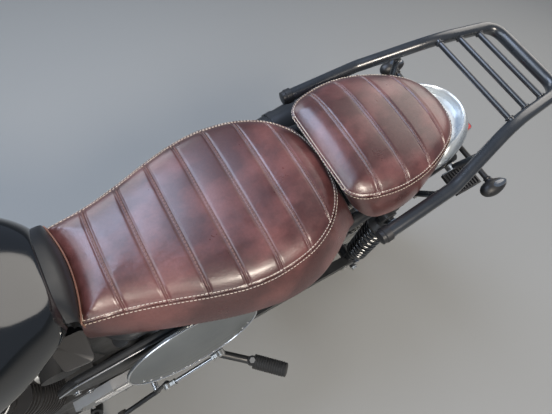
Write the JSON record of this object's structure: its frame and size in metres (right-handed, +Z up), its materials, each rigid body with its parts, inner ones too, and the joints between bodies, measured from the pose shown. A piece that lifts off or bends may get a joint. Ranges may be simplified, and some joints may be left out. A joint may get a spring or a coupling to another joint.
{
  "type": "scrambler motorcycle",
  "caption": "Air-cooled scrambler motorcycle leaning on its side stand, with ribbed leather seats and a tubular rear rack.",
  "frame": {"origin": "on the ground under the middle of the outline, as it leans on its side stand", "axes": "+X forward, +Y to the rider's left, +Z up"},
  "size_m": [2.1965, 0.8412, 1.2969],
  "materials": {
    "tyre": "matt tread rubber",
    "black_rim": "satin black",
    "steel": "ground steel",
    "black_paint": "satin black powder coat",
    "alloy": "cast alloy",
    "rubber": "ribbed",
    "silver_paint": "satin silver",
    "clear_glass": "clear",
    "black_plastic": "moulded",
    "exhaust_steel": "brushed stainless",
    "tank_paint": "gloss black",
    "seat_leather": "dark red-brown, sheen",
    "red_lens": "clear red"
  },
  "bodies": {
    "root": {"frame": "black_paint", "swingarm": "black_paint", "shock_absorbers": "black_paint", "crankcase": "alloy", "cylinder_barrels": "alloy", "cylinder_head": "alloy", "left_engine_cover": "alloy", "right_engine_cover": "alloy", "sprocket_cover": "black_paint", "front_sprocket": "steel", "throttle_bodies": "alloy", "air_box": "black_plastic", "exhaust_pipes": "exhaust_steel", "silencers": "exhaust_steel", "heat_shield": "exhaust_steel", "drive_chain": "steel", "fuel_tank": "tank_paint", "rider_seat": "seat_leather", "pillion_seat": "seat_leather", "tail_cowl": "silver_paint", "tail_bracket": "black_plastic", "tail_lamp": "red_lens", "rear_indicators": "black_plastic", "rear_mudguard": "black_plastic", "rear_rack": "black_paint", "number_board": "silver_paint", "side_covers": "black_paint", "foot_pegs": "rubber", "gear_lever": "steel", "brake_pedal": "steel", "skid_plate": "alloy", "rear_brake_caliper": "black_paint"},
    "fork": {"fork_yokes": "black_paint", "fork_legs": "alloy", "fork_gaiters": "rubber", "front_mudguard": "silver_paint", "headlamp": "black_paint", "headlamp_glass": "clear_glass", "handlebar": "black_paint", "handlebar_grips": "rubber", "hand_controls": "black_plastic", "mirrors": "black_paint", "clock": "black_plastic", "front_brake_caliper": "black_paint", "front_indicators": "black_plastic"},
    "front_wheel": {"front_tyre": "tyre", "front_wheel": "black_rim", "front_brake_disc": "steel"},
    "rear_wheel": {"rear_tyre": "tyre", "rear_wheel": "black_rim", "rear_brake_disc": "steel", "rear_sprocket": "steel"},
    "side_stand": {"side_stand": "black_paint"}
  },
  "joints": [
    {"name": "steering", "type": "hinge", "parent": "root", "child": "fork", "pos_m": [0.42346, -0.02879, 0.86984], "axis": [-0.454, 0.1547, 0.8775], "range_deg": [-33, 33]},
    {"name": "front_wheel_spin", "type": "hinge", "parent": "fork", "child": "front_wheel", "pos_m": [0.763, -0.12348, 0.33284], "axis": [0, 0.9848, -0.1736], "continuous": true},
    {"name": "rear_wheel_spin", "type": "hinge", "parent": "root", "child": "rear_wheel", "pos_m": [-0.732, -0.12556, 0.32102], "axis": [0, 0.9848, -0.1736], "continuous": true},
    {"name": "stand_fold", "type": "hinge", "parent": "root", "child": "side_stand", "pos_m": [0.048, -0.01149, 0.19632], "axis": [0.1301, 0.8709, 0.4739], "range_deg": [0, 97.8]}
  ]
}
